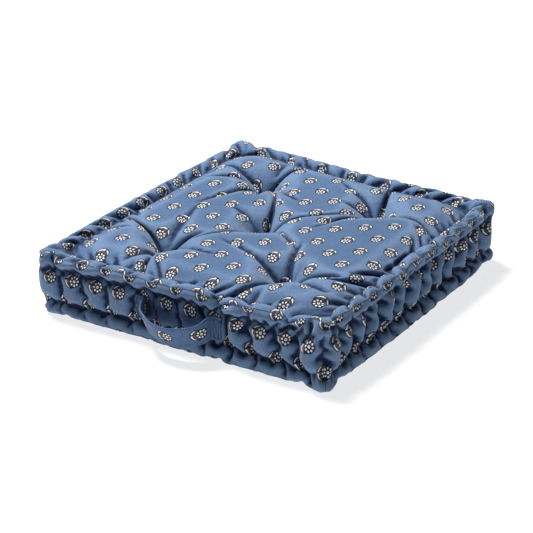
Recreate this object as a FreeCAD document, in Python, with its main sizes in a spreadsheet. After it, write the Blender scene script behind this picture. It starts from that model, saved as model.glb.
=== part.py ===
import FreeCAD, Part
import math
import os

import Sketcher

# A square floor cushion, built like a tufted mattress. Two printed panels and four side strips
# (the boxing) make the cover. Its upper and lower edges are stitched into rolls around ropes of
# fibre. Five twine ties pull the panels into dimples, and a strap on the front is the handle.
#
# Frame: millimetres, +Z up, origin on the resting plane below the middle. The handle is on -Y.

Vector = FreeCAD.Vector
Rotation = FreeCAD.Rotation
Placement = FreeCAD.Placement

doc = FreeCAD.newDocument("floor_cushion")
sheet = doc.addObject("Spreadsheet::Sheet", "Dimensions")

DRIVING_DIMENSIONS = {
    # the whole cushion
    "side": 500,  # seam to seam across the cushion
    "height": 100,
    "cloth": 1.2,  # one layer of cotton
    "gap": 0.3,  # clearance between soft pieces that lie against each other
    # the rolled edges
    "roll_radius": 12,
    "roll_corner": 16,  # plan radius of the roll's middle line at a corner
    "rope_radius": 10,  # fibre rope inside a roll
    "seam_angle": 45,  # where panel and boxing meet, up from the roll's widest point
    "panel_arc_end": 190,  # how far round the roll the panel goes
    "boxing_arc_end": 57,  # how far round the roll the boxing goes
    "wall_inset": 5,  # the boxing between the rolls, in from the seam
    "wall_reach": 9.5,  # where the wall meets a roll, from the roll's middle line
    "seam_thread_radius": 0.3,
    # the tufted fields
    "field_drop": 2,  # top field below the top of the rolls
    "foot_inset": 23.2,  # where a panel's slope meets the roll, in from the seam
    "foot_reach": 1.5,  # the same point, from the roll's middle line towards mid-height
    "foot_corner": 6,
    "flat_inset": 52,  # where the slope meets the flat field, in from the seam
    "flat_corner": 24,
    "slope_cloth": 3.2,  # the slope's cloth measured level
    "tuft_across": 107,  # corner tufts from the middle, along X
    "tuft_along": 130,  # corner tufts from the middle, along Y
    "tuft_centre_x": -14,  # the centre tuft was tied a little off the middle
    "tuft_centre_y": -4,
    "top_mouth": 42,  # radius of a dimple at the field
    "top_depth": 38,
    "bottom_mouth": 34,
    "bottom_depth": 28,
    "dimple_tip": 1.6,  # radius of the hole at a dimple's tip
    "dimple_cloth": 1.75,  # the dimple's cloth measured upright
    "mouth_lap": 1.9,  # how far the dimple's cloth runs on under the field
    "tie_radius": 1.2,
    "knot_radius": 2.8,
    "knot_lift": 3.9,  # knot's middle, out from the dimple's tip
    # the filling
    "filling_corner": 22.5,
    "filling_inset": 6.8,  # the filling's sides, in from the seam
    "filling_step": 23,  # height of the step below and above the ropes
    "filling_neck_inset": 26.9,  # the filling between the ropes, in from the seam
    # the roll stitching
    "stitch_radius": 0.6,
    "stitch_length": 14,
    "stitches_per_side": 17,
    "panel_stitch_inset": 24.8,
    "wall_stitch_inset": 4.2,
    "wall_stitch_reach": 10.4,  # from the roll's middle line
    # the handle
    "strap_width": 36,
    "strap_cloth": 3,  # folded double
    "strap_foot": 58,  # where the strap leaves the wall, from its middle
    "strap_bulge": 38,  # how far its middle line stands out
    "strap_side_arc": 26,  # radius of the arc beside each foot
    "strap_split": 44,  # where the sewn ends give way to the free loop
    "strap_split_gap": 0.5,
    "strap_root": 8,  # how far an end runs in before the wall trims it
    "strap_tab": 18,  # sewn flat against the wall beyond each foot
    "strap_droop": 18,  # degrees that the loop hangs below level
    "strap_level": 50,  # height of the line through the sewn ends
    "bar_stitch_radius": 0.5,
}

for row, (alias, value) in enumerate(DRIVING_DIMENSIONS.items(), start=1):
    sheet.set(f"A{row}", alias)
    sheet.set(f"B{row}", str(value))
    sheet.setAlias(f"B{row}", alias)
doc.recompute()

SHEET = "Dimensions."


def size(alias):
    """A driving dimension's value."""
    return float(sheet.get(alias))


def bound(text):
    """An expression over aliases, with each alias pointed at the sheet."""
    names = sorted(DRIVING_DIMENSIONS, key=len, reverse=True)
    out, i = "", 0
    while i < len(text):
        name = next((n for n in names if text.startswith(n, i)), None)
        starts_word = i == 0 or not (text[i - 1].isalnum() or text[i - 1] == "_")
        if name and starts_word:
            out += SHEET + name
            i += len(name)
        else:
            out += text[i]
            i += 1
    return out


def worth(text):
    """The value of an expression over aliases, used for a sketch's first geometry."""
    helper = doc.getObject("Worth") or doc.addObject("App::FeaturePython", "Worth")
    return float(helper.evalExpression(bound(text)))


# ---------------------------------------------------------------- bodies, planes and sketches


def new_body(label):
    body = doc.addObject("PartDesign::Body", label)
    body.Label = label
    return body


def plane(body, role):
    return next(f for f in body.Origin.OriginFeatures if f.Role == role)


def new_sketch(body, role, name, offset=None):
    """A sketch on an origin plane; offset gives expressions for its shift in its own x, y, z."""
    sketch = body.newObject("Sketcher::SketchObject", name)
    sketch.AttachmentSupport = [(plane(body, role), "")]
    sketch.MapMode = "FlatFace"
    for axis, text in (offset or {}).items():
        sketch.setExpression(f".AttachmentOffset.Base.{axis}", bound(text))
    doc.recompute()
    return sketch


def bind(sketch, constraint, text):
    """Adds a dimension and binds it to an expression."""
    index = sketch.addConstraint(constraint)
    sketch.setExpression(f"Constraints[{index}]", bound(text))


def pin_point(sketch, geometry, end, x, y):
    """Fixes a point of the sketch at expressions x and y."""
    bind(sketch, Sketcher.Constraint("DistanceX", -1, 1, geometry, end, worth(x)), x)
    bind(sketch, Sketcher.Constraint("DistanceY", -1, 1, geometry, end, worth(y)), y)


def draw_polygon(sketch, corners):
    """A closed outline through corners, each a pair of expressions."""
    at = [Vector(worth(x), worth(y), 0) for x, y in corners]
    count = len(at)
    lines = [
        sketch.addGeometry(Part.LineSegment(at[i], at[(i + 1) % count]), False)
        for i in range(count)
    ]
    for i in range(count):
        joint = Sketcher.Constraint("Coincident", lines[i], 2, lines[(i + 1) % count], 1)
        sketch.addConstraint(joint)
    for line, (x, y) in zip(lines, corners):
        pin_point(sketch, line, 1, x, y)


def draw_circle(sketch, x, y, radius):
    middle = Vector(worth(x), worth(y), 0)
    circle = Part.Circle(middle, Vector(0, 0, 1), worth(radius))
    index = sketch.addGeometry(circle, False)
    pin_point(sketch, index, 3, x, y)
    bind(sketch, Sketcher.Constraint("Radius", index, worth(radius)), radius)


def draw_rounded_square(sketch, half, radius):
    """A square of half-width half about the origin, with rounded corners."""
    h, r = worth(half), worth(radius)
    c = h - r
    sides = [((h, -c), (h, c)), ((c, h), (-c, h)), ((-h, c), (-h, -c)), ((-c, -h), (c, -h))]
    middles = [(c, c), (-c, c), (-c, -c), (c, -c)]
    for quarter, ((start, end), middle) in enumerate(zip(sides, middles)):
        sketch.addGeometry(Part.LineSegment(Vector(*start, 0), Vector(*end, 0)), False)
        circle = Part.Circle(Vector(*middle, 0), Vector(0, 0, 1), r)
        turn = quarter * math.pi / 2
        sketch.addGeometry(Part.ArcOfCircle(circle, turn, turn + math.pi / 2), False)
    for line in range(0, 8, 2):
        arc, after = line + 1, (line + 2) % 8
        sketch.addConstraint(Sketcher.Constraint("Tangent", line, 2, arc, 1))
        sketch.addConstraint(Sketcher.Constraint("Tangent", arc, 2, after, 1))
        sketch.addConstraint(Sketcher.Constraint(["Vertical", "Horizontal"][line // 2 % 2], line))
    for arc in (3, 5, 7):
        sketch.addConstraint(Sketcher.Constraint("Equal", 1, arc))
    sketch.addConstraint(Sketcher.Constraint("Symmetric", 1, 3, 5, 3, -1, 1))
    bind(sketch, Sketcher.Constraint("Radius", 1, r), radius)
    width = f"2 * ({half})"
    bind(sketch, Sketcher.Constraint("DistanceX", 4, 1, 0, 1, 2 * h), width)
    bind(sketch, Sketcher.Constraint("DistanceY", 6, 1, 2, 1, 2 * h), width)


def draw_arc_band(sketch, x, y, start, end):
    """The section of one cloth layer round a roll, from angle start to end in degrees."""
    middle = Vector(worth(x), worth(y), 0)
    up = Vector(0, 0, 1)
    angles = [math.radians(worth(a)) for a in (start, end)]
    radii = ["roll_radius", "roll_radius - cloth"]
    arcs = [
        sketch.addGeometry(Part.ArcOfCircle(Part.Circle(middle, up, worth(r)), *angles), False)
        for r in radii
    ]
    outer, inner = arcs
    pin_point(sketch, outer, 3, x, y)
    sketch.addConstraint(Sketcher.Constraint("Coincident", outer, 3, inner, 3))
    for arc, radius in zip(arcs, radii):
        bind(sketch, Sketcher.Constraint("Radius", arc, worth(radius)), radius)
    for tip, text in ((1, start), (2, end)):
        outside = middle + Vector(math.cos(angles[tip - 1]), math.sin(angles[tip - 1]), 0) * worth(radii[0])
        inside = middle + (outside - middle) * (worth(radii[1]) / worth(radii[0]))
        line = sketch.addGeometry(Part.LineSegment(inside, outside), False)
        sketch.addConstraint(Sketcher.Constraint("Coincident", line, 1, inner, tip))
        sketch.addConstraint(Sketcher.Constraint("Coincident", line, 2, outer, tip))
        sketch.addConstraint(Sketcher.Constraint("PointOnObject", outer, 3, line))
        turned = math.radians(worth(text))
        bind(sketch, Sketcher.Constraint("Angle", line, turned), text)


# ---------------------------------------------------------------- features


def loft(body, kind, sections):
    feature = body.newObject(f"PartDesign::{kind}Loft", f"{body.Label}_{kind.lower()}_loft")
    feature.Profile = sections[0]
    feature.Sections = sections[1:]
    feature.Ruled = True
    doc.recompute()
    return feature


def sweep_round(body, profile, level, kind="Additive"):
    """Sweeps a profile once round the cushion, along the roll's middle line in plan."""
    path = new_sketch(body, "XY_Plane", profile.Label + "_path", {"z": level})
    draw_rounded_square(path, "side / 2 - roll_radius", "roll_corner")
    pipe = body.newObject(f"PartDesign::{kind}Pipe", profile.Label + "_pipe")
    pipe.Profile = profile
    pipe.Spine = (path, [])
    doc.recompute()
    return pipe


def pad(body, sketch, length, midplane=False):
    feature = body.newObject("PartDesign::Pad", sketch.Label + "_pad")
    feature.Profile = sketch
    feature.Midplane = midplane
    feature.setExpression("Length", bound(length))
    doc.recompute()
    return feature


def turn(body, kind, sketch):
    """A Revolution or a Groove, once round the sketch's own upright axis."""
    feature = body.newObject(f"PartDesign::{kind}", sketch.Label + "_" + kind.lower())
    feature.Profile = sketch
    feature.ReferenceAxis = (sketch, ["V_Axis"])
    feature.Angle = 360
    doc.recompute()
    return feature


ROLL_LEVELS = {"top": "height - roll_radius", "bottom": "roll_radius"}
FIELD_LEVELS = {"top": "height - field_drop", "bottom": "0"}
OUTWARD = {"top": "1", "bottom": "-1"}  # which way is out of the cushion
ROLL_X = "side / 2 - roll_radius"
TUFT_NAMES = ["centre", "front_left", "front_right", "back_right", "back_left"]
TUFT_SPOTS = [
    ("tuft_centre_x", "tuft_centre_y"),
    ("-tuft_across", "-tuft_along"),
    ("tuft_across", "-tuft_along"),
    ("tuft_across", "tuft_along"),
    ("-tuft_across", "tuft_along"),
]


def upright_sketch_at(body, name, x, y):
    """A sketch in an upright plane whose origin is below the plan point x, y."""
    return new_sketch(body, "XZ_Plane", name, {"x": x, "z": f"-({y})"})


# ---------------------------------------------------------------- the cover


def build_panel(face):
    """The top or bottom panel: tufted field, slope down to the roll, and cloth round the roll."""
    body = new_body(f"{face}_panel")
    out, roll, field = OUTWARD[face], ROLL_LEVELS[face], FIELD_LEVELS[face]
    foot = f"{roll} - ({out}) * foot_reach"

    def section(name, half, corner, level):
        sketch = new_sketch(body, "XY_Plane", f"{face}_{name}", {"z": level})
        draw_rounded_square(sketch, half, corner)
        return sketch

    outer = [
        section("foot", "side / 2 - foot_inset", "foot_corner", foot),
        section("flat", "side / 2 - flat_inset", "flat_corner", field),
    ]
    loft(body, "Additive", outer)
    inner = [
        section("foot_inside", "side / 2 - foot_inset - slope_cloth", "foot_corner", foot),
        section("flat_inside", "side / 2 - flat_inset", "flat_corner", f"{field} - ({out}) * cloth"),
    ]
    loft(body, "Subtractive", inner)

    profile = new_sketch(body, "XZ_Plane", f"{face}_margin")
    arc = ("seam_angle", "panel_arc_end")
    if face == "bottom":
        arc = ("-panel_arc_end", "-seam_angle")
    draw_arc_band(profile, ROLL_X, roll, *arc)
    sweep_round(body, profile, roll)

    mouth, depth = f"{face}_mouth", f"{face}_depth"
    tip = f"{field} - ({out}) * {depth}"
    for name, (x, y) in zip(TUFT_NAMES, TUFT_SPOTS):
        hole = upright_sketch_at(body, f"{face}_{name}_hole", x, y)
        draw_polygon(hole, [("0", field), (mouth, field), ("dimple_tip", tip), ("0", tip)])
        turn(body, "Groove", hole)
        wall = upright_sketch_at(body, f"{face}_{name}_dimple", x, y)
        under = f"{tip} - ({out}) * dimple_cloth"
        draw_polygon(
            wall,
            [(mouth, field), ("dimple_tip", tip), ("dimple_tip", under), (f"{mouth} + mouth_lap", field)],
        )
        turn(body, "Revolution", wall)
    return body


def build_boxing_ring():
    """All four side strips in one ring, before it is parted at the corners."""
    ring = new_body("boxing_ring")
    for face, arc in (("top", ("-boxing_arc_end", "seam_angle")), ("bottom", ("-seam_angle", "boxing_arc_end"))):
        profile = new_sketch(ring, "XZ_Plane", f"boxing_{face}_roll")
        draw_arc_band(profile, ROLL_X, ROLL_LEVELS[face], *arc)
        sweep_round(ring, profile, ROLL_LEVELS[face])
    wall = new_sketch(ring, "XZ_Plane", "boxing_wall")
    outside, inside = "side / 2 - wall_inset", "side / 2 - wall_inset - cloth"
    low, high = "roll_radius + wall_reach", "height - roll_radius - wall_reach"
    draw_polygon(wall, [(inside, low), (outside, low), (outside, high), (inside, high)])
    sweep_round(ring, wall, "height / 2")
    return ring


SIDES = {"front": -90, "right": 0, "back": 90, "left": 180}  # direction of each side, in degrees


def build_boxing():
    """The four side strips: the ring shared out at the corners' 45 degree lines."""
    ring = build_boxing_ring()
    strips = []
    for name, direction in SIDES.items():
        sector = doc.addObject("Part::Box", f"{name}_sector")
        sector.setExpression("Length", bound("side"))
        sector.setExpression("Width", bound("side"))
        sector.setExpression("Height", bound("height"))
        sector.Placement = Placement(Vector(0, 0, 0), Rotation(Vector(0, 0, 1), direction - 45))
        strip = doc.addObject("Part::Common", f"boxing_{name}")
        strip.Base = ring
        strip.Tool = sector
        strip.Label = f"boxing_{name}"
        strips.append(strip)
    doc.recompute()
    return strips


# ---------------------------------------------------------------- inside the cover


def build_filling():
    """The fibre filling, stepped round the edge ropes and dimpled where the ties pull."""
    body = new_body("filling_core")
    slab = new_sketch(body, "XY_Plane", "filling_slab", {"z": "filling_step"})
    draw_rounded_square(slab, "side / 2 - filling_inset", "filling_corner")
    pad(body, slab, "height - 2 * filling_step")
    for face in ("top", "bottom"):
        out, field, roll = OUTWARD[face], FIELD_LEVELS[face], ROLL_LEVELS[face]
        step = "height - filling_step" if face == "top" else "filling_step"
        levels = [
            ("neck_root", "filling_neck_inset", "foot_corner", f"{step} - ({out}) * cloth"),
            ("neck", "filling_neck_inset", "foot_corner", f"{roll} - ({out}) * foot_reach"),
            ("crown", "flat_inset + cloth", "flat_corner", f"{field} - ({out}) * (cloth + gap)"),
        ]
        sections = []
        for name, inset, corner, level in levels:
            sketch = new_sketch(body, "XY_Plane", f"filling_{face}_{name}", {"z": level})
            draw_rounded_square(sketch, f"side / 2 - {inset.replace('flat_inset + cloth', '(flat_inset + cloth)')}", corner)
            sections.append(sketch)
        loft(body, "Additive", sections[:2])
        loft(body, "Additive", sections[1:])
        mouth, depth = f"{face}_mouth", f"{face}_depth"
        below = "(dimple_cloth + gap)"
        tip = f"{field} - ({out}) * ({depth} + {below})"
        for name, (x, y) in zip(TUFT_NAMES, TUFT_SPOTS):
            dimple = upright_sketch_at(body, f"filling_{face}_{name}", x, y)
            draw_polygon(
                dimple,
                [("0", field), (f"{mouth} + mouth_lap + gap", field), ("dimple_tip + gap", tip), ("0", tip)],
            )
            turn(body, "Groove", dimple)
    for name, (x, y) in zip(TUFT_NAMES, TUFT_SPOTS):
        channel = upright_sketch_at(body, f"filling_channel_{name}", x, y)
        low, high = "bottom_depth", "height - field_drop - top_depth"
        draw_polygon(channel, [("0", low), ("tie_radius", low), ("tie_radius", high), ("0", high)])
        turn(body, "Groove", channel)
    return body


def build_rope(face):
    """The rope of fibre that fills a rolled edge, once round the cushion."""
    body = new_body(f"{face}_roll_rope")
    profile = new_sketch(body, "XZ_Plane", f"{face}_rope_section")
    draw_circle(profile, ROLL_X, ROLL_LEVELS[face], "rope_radius")
    sweep_round(body, profile, ROLL_LEVELS[face])
    return body


def build_seam_thread(face):
    """The thread that joins a panel to the boxing, just inside the seam."""
    body = new_body(f"{face}_seam_thread")
    out = OUTWARD[face]
    profile = new_sketch(body, "XZ_Plane", f"{face}_seam_section")
    reach = "(roll_radius - cloth - seam_thread_radius - gap / 3)"
    x = f"{ROLL_X} + {reach} * cos(seam_angle)"
    y = f"{ROLL_LEVELS[face]} + ({out}) * {reach} * sin(seam_angle)"
    draw_circle(profile, x, y, "seam_thread_radius")
    sweep_round(body, profile, ROLL_LEVELS[face])
    return body


def build_tie(name, x, y):
    """One twine tie, with a knot in the top dimple and one in the bottom dimple."""
    body = new_body(f"tuft_tie_{name}")
    shaft = upright_sketch_at(body, f"tie_{name}_shaft", x, y)
    low = "bottom_depth - knot_lift"
    high = "height - field_drop - top_depth + knot_lift"
    draw_polygon(shaft, [("0", low), ("tie_radius", low), ("tie_radius", high), ("0", high)])
    turn(body, "Revolution", shaft)
    for end, level in (("low", low), ("high", high)):
        knot = upright_sketch_at(body, f"tie_{name}_{end}_knot", x, y)
        middle, radius = Vector(0, worth(level), 0), worth("knot_radius")
        circle = Part.Circle(middle, Vector(0, 0, 1), radius)
        arc = knot.addGeometry(Part.ArcOfCircle(circle, -math.pi / 2, math.pi / 2), False)
        up = Vector(0, radius, 0)
        line = knot.addGeometry(Part.LineSegment(middle + up, middle - up), False)
        knot.addConstraint(Sketcher.Constraint("Coincident", arc, 2, line, 1))
        knot.addConstraint(Sketcher.Constraint("Coincident", line, 2, arc, 1))
        knot.addConstraint(Sketcher.Constraint("PointOnObject", arc, 3, line))
        pin_point(knot, arc, 3, "0", level)
        knot.addConstraint(Sketcher.Constraint("Vertical", line))
        bind(knot, Sketcher.Constraint("Radius", arc, radius), "knot_radius")
        turn(body, "Revolution", knot)
    return body


# ---------------------------------------------------------------- groups of like pieces


def group(label, shapes):
    """A node of several separate solids."""
    feature = doc.addObject("Part::Feature", label)
    feature.Label = label
    feature.Shape = Part.makeCompound(shapes)
    return feature


def thread(start, end, radius):
    """A straight run of thread."""
    along = end - start
    return Part.makeCylinder(radius, along.Length, start, along)


def build_roll_stitching(face):
    """Both rows of stitches that pinch a roll: one on the panel, one on the boxing."""
    half, length, radius = size("side") / 2, size("stitch_length"), size("stitch_radius")
    roll = worth(ROLL_LEVELS[face])
    out = float(OUTWARD[face])
    rows = [
        (half - size("panel_stitch_inset"), roll),
        (half - size("wall_stitch_inset"), roll - out * size("wall_stitch_reach")),
    ]
    count = int(size("stitches_per_side"))
    straight = 2 * (half - size("roll_radius") - size("roll_corner"))
    pitch = straight / count
    stitches = []
    for direction in SIDES.values():
        for distance, level in rows:
            for k in range(count):
                middle = (k - (count - 1) / 2) * pitch
                start = Vector(distance, middle - length / 2, level)
                stitch = thread(start, start + Vector(0, length, 0), radius)
                stitch.rotate(Vector(0, 0, 0), Vector(0, 0, 1), direction)
                stitches.append(stitch)
    return group(f"{face}_roll_stitching", stitches)


def build_corner_threads():
    """The four upright threads that join the side strips at the corners."""
    radius = size("seam_thread_radius")
    inside = size("roll_corner") + size("roll_radius") - size("wall_inset") - size("cloth")
    middle = size("side") / 2 - size("roll_radius") - size("roll_corner")
    reach = (inside - radius - size("gap") / 3) * math.cos(math.radians(45)) + middle
    low, high = size("filling_step"), size("height") - size("filling_step")
    corners = [(1, 1), (-1, 1), (-1, -1), (1, -1)]
    return group(
        "corner_seam_threads",
        [thread(Vector(x * reach, y * reach, low), Vector(x * reach, y * reach, high), radius) for x, y in corners],
    )


# ---------------------------------------------------------------- the handle


def arch_outline():
    """The strap's closed outline in plan: three arcs out from the wall, and three back."""
    foot, bulge = size("strap_foot"), size("strap_bulge")
    small, half_cloth = size("strap_side_arc"), size("strap_cloth") / 2
    side_x = foot - small
    # the middle arc touches both side arcs, so its centre lies behind the wall
    large = (side_x**2 + bulge**2 - small**2) / (2 * (bulge - small))
    behind = large - bulge
    lean = math.atan2(behind, side_x)
    return side_x, behind, small, large, lean, half_cloth


def draw_arch(sketch):
    """Draws the outline with its feet on the sketch's x axis and its bulge towards -y."""
    side_x, behind, small, large, lean, half = arch_outline()
    up = Vector(0, 0, 1)

    def arc(x, y, radius, start, end):
        circle = Part.Circle(Vector(x, y, 0), up, radius)
        return sketch.addGeometry(Part.ArcOfCircle(circle, start, end), False)

    left, right = (math.pi, math.pi + lean), (2 * math.pi - lean, 2 * math.pi)
    middle = (math.pi + lean, 2 * math.pi - lean)
    outer = [
        arc(-side_x, 0, small + half, *left),
        arc(0, behind, large + half, *middle),
        arc(side_x, 0, small + half, *right),
    ]
    inner = [
        arc(-side_x, 0, small - half, *left),
        arc(0, behind, large - half, *middle),
        arc(side_x, 0, small - half, *right),
    ]
    ends = []
    for sign, tip, k in ((-1, 1, 0), (1, 2, 2)):
        a, b = Vector(sign * (side_x + small + half), 0, 0), Vector(sign * (side_x + small - half), 0, 0)
        line = sketch.addGeometry(Part.LineSegment(a, b), False)
        sketch.addConstraint(Sketcher.Constraint("Coincident", line, 1, outer[k], tip))
        sketch.addConstraint(Sketcher.Constraint("Coincident", line, 2, inner[k], tip))
        ends.append(line)
    for row in (outer, inner):
        sketch.addConstraint(Sketcher.Constraint("Tangent", row[0], 2, row[1], 1))
        sketch.addConstraint(Sketcher.Constraint("Tangent", row[1], 2, row[2], 1))
    for k in range(3):
        if k != 1:
            sketch.addConstraint(Sketcher.Constraint("Coincident", outer[k], 3, inner[k], 3))
    for line in ends:
        sketch.addConstraint(Sketcher.Constraint("PointOnObject", line, 1, -1))
    sketch.addConstraint(Sketcher.Constraint("PointOnObject", outer[0], 3, -1))
    sketch.addConstraint(Sketcher.Constraint("PointOnObject", outer[2], 3, -1))
    sketch.addConstraint(Sketcher.Constraint("PointOnObject", ends[0], 2, -1))
    sketch.addConstraint(Sketcher.Constraint("PointOnObject", ends[1], 2, -1))
    bind(sketch, Sketcher.Constraint("DistanceX", -1, 1, outer[2], 3, side_x), "strap_foot - strap_side_arc")
    bind(sketch, Sketcher.Constraint("DistanceX", outer[0], 3, -1, 1, side_x), "strap_foot - strap_side_arc")
    for k in (0, 2):
        bind(sketch, Sketcher.Constraint("Radius", outer[k], small + half), "strap_side_arc + strap_cloth / 2")
        bind(sketch, Sketcher.Constraint("Radius", inner[k], small - half), "strap_side_arc - strap_cloth / 2")


def cross_cut(body, name, edges):
    """Cuts the strap away between each pair of x values, right through it."""
    sketch = new_sketch(body, "XZ_Plane", name)
    for left, right in edges:
        draw_polygon(
            sketch,
            [(left, "-strap_width"), (right, "-strap_width"), (right, "strap_width"), (left, "strap_width")],
        )
    pocket_through(body, sketch)


def build_strap():
    """The free loop, between the two sewn ends. It hangs a little below level."""
    body = new_body("handle_strap")
    arch = new_sketch(body, "XY_Plane", "strap_arch")
    draw_arch(arch)
    pad(body, arch, "strap_width", midplane=True)
    near, far = "(strap_split - strap_split_gap)", "(strap_foot + strap_tab)"
    cross_cut(body, "strap_ends_cut", [(f"-{far}", f"-{near}"), (near, far)])
    body.setExpression(".Placement.Base.y", bound("wall_inset - side / 2 - gap"))
    body.setExpression(".Placement.Base.z", bound("strap_level"))
    body.Placement = Placement(Vector(), Rotation(Vector(1, 0, 0), size("strap_droop")))
    body.setExpression(".Placement.Rotation.Angle", bound("strap_droop"))
    doc.recompute()
    return body


def build_handle_end(name, sign):
    """One end of the strap: a tab sewn flat to the wall, and the bend that leads to the loop."""
    body = new_body(f"handle_end_{name}")
    far = "(strap_foot + strap_tab)"

    def drooping_sketch(label):
        sketch = new_sketch(body, "XY_Plane", label)
        sketch.AttachmentOffset = Placement(Vector(), Rotation(Vector(1, 0, 0), size("strap_droop")))
        sketch.setExpression(".AttachmentOffset.Rotation.Angle", bound("strap_droop"))
        doc.recompute()
        return sketch

    arch = drooping_sketch(f"{name}_bend")
    draw_arch(arch)
    pad(body, arch, "strap_width", midplane=True)
    inner, outer = (f"({sign}) * (strap_foot {way} strap_cloth / 2)" for way in "-+")
    root = drooping_sketch(f"{name}_root")
    draw_polygon(root, [(inner, "0"), (outer, "0"), (outer, "strap_root"), (inner, "strap_root")])
    pad(body, root, "strap_width", midplane=True)
    cross_cut(body, f"{name}_loop_cut", [(f"({sign}) * strap_split", f"-({sign}) * {far}")])
    tab = new_sketch(body, "XY_Plane", f"{name}_tab")
    end = f"({sign}) * {far}"
    draw_polygon(tab, [(inner, "-strap_cloth"), (end, "-strap_cloth"), (end, "0"), (inner, "0")])
    pad(body, tab, "strap_width", midplane=True)
    behind = new_sketch(body, "XZ_Plane", f"{name}_behind_wall")
    draw_polygon(
        behind,
        [("0", "-strap_width"), (end, "-strap_width"), (end, "strap_width"), ("0", "strap_width")],
    )
    trim = body.newObject("PartDesign::Pocket", f"{name}_wall_trim")
    trim.Profile = behind
    trim.Type = "ThroughAll"
    body.setExpression(".Placement.Base.y", bound("wall_inset - side / 2 - gap"))
    body.setExpression(".Placement.Base.z", bound("strap_level"))
    doc.recompute()
    return body


def pocket_through(body, sketch):
    """A pocket right through the body, both ways from the sketch."""
    feature = body.newObject("PartDesign::Pocket", sketch.Label + "_pocket")
    feature.Profile = sketch
    feature.Type = "ThroughAll"
    feature.Midplane = True
    doc.recompute()
    return feature


def build_handle_stitching(name, sign):
    """The crossed box of stitches that holds one end of the strap."""
    radius = size("bar_stitch_radius")
    near, far = size("strap_foot") + 4, size("strap_foot") + size("strap_tab") - 2
    reach = size("strap_width") / 2 - 3
    y = -(size("side") / 2 - size("wall_inset") + size("gap") + size("strap_cloth") + radius)
    level = size("strap_level")

    def corner(x, z):
        return Vector(sign * x, y, level + z)

    inset = 2 * radius + size("gap")
    box = [
        (corner(near, -reach), corner(near, reach)),
        (corner(far, -reach), corner(far, reach)),
        (corner(near + inset, -reach), corner(far - inset, -reach)),
        (corner(near + inset, reach), corner(far - inset, reach)),
        (corner(near + inset, -reach + 3), corner(far - inset, reach - 3)),
    ]
    return group(f"handle_stitching_{name}", [thread(a, b, radius) for a, b in box])


# ---------------------------------------------------------------- build, check and write

parts = [build_panel("top"), build_panel("bottom")]
parts += build_boxing()
parts += [build_filling()]
parts += [build_rope(face) for face in ("top", "bottom")]
parts += [build_seam_thread(face) for face in ("top", "bottom")]
parts += [build_tie(name, x, y) for name, (x, y) in zip(TUFT_NAMES, TUFT_SPOTS)]
parts += [build_roll_stitching(face) for face in ("top", "bottom")]
parts += [build_corner_threads()]
parts += [build_strap(), build_handle_end("left", -1), build_handle_end("right", 1)]
parts += [build_handle_stitching("left", -1), build_handle_stitching("right", 1)]

doc.recompute()
for item in doc.Objects:
    if {"Invalid", "Error"} & set(item.State):
        raise SystemExit(f"{item.Label} failed: {item.State}")
for part in parts:
    if part.Shape.isNull() or not part.Shape.isValid():
        raise SystemExit(f"{part.Label} has no valid shape")

os.makedirs("parts", exist_ok=True)
for part in parts:
    part.Shape.exportStep(f"parts/{part.Label}.step")
    print(f"{part.Label:26s} {len(part.Shape.Solids):4d} solids {part.Shape.Volume / 1000:10.2f} cm3")
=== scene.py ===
"""A tufted floor cushion with rolled edges and a strap handle, built round its CAD frame."""

import math

import bpy
import numpy as np
from mathutils import Matrix, Vector
from mathutils.bvhtree import BVHTree


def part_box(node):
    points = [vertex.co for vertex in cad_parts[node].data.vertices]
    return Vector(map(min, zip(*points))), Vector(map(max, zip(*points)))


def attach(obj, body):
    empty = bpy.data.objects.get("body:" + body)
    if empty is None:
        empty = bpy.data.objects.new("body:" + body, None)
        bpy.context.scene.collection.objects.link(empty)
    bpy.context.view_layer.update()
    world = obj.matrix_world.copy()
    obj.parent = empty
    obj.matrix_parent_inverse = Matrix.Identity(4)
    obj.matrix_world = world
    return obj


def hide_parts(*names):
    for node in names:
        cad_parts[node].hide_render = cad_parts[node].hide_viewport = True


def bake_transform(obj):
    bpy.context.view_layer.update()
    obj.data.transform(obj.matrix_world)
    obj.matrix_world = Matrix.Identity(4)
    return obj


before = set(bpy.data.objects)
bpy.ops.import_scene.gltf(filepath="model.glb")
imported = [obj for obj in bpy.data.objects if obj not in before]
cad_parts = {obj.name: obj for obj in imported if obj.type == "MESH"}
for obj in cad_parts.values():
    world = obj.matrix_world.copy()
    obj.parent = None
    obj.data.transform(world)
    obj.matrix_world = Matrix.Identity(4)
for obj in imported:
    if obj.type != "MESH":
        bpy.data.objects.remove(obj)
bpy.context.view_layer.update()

MM = 0.001
HALF = 0.25  # half of the cushion's side
ROLL_R = 12 * MM
TOP_ROLL_Z = 88 * MM
BOTTOM_ROLL_Z = 12 * MM
TOP_TUFT_Z = 60 * MM
BOTTOM_TUFT_Z = 28 * MM
ROOT, HANDLE = "cushion", "handle"

# ---- small helpers


def smooth(low, high, x):
    t = np.clip((x - low) / (high - low), 0.0, 1.0)
    return t * t * (3 - 2 * t)


def middle_of(node):
    low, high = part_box(node)
    return [(a + b) / 2 for a, b in zip(low, high)]


TUFT_NAMES = ("centre", "front_left", "front_right", "back_right", "back_left")
TUFTS = [middle_of(f"tuft_tie_{name}")[:2] for name in TUFT_NAMES]

# ---- the cover's flat cloth

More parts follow.
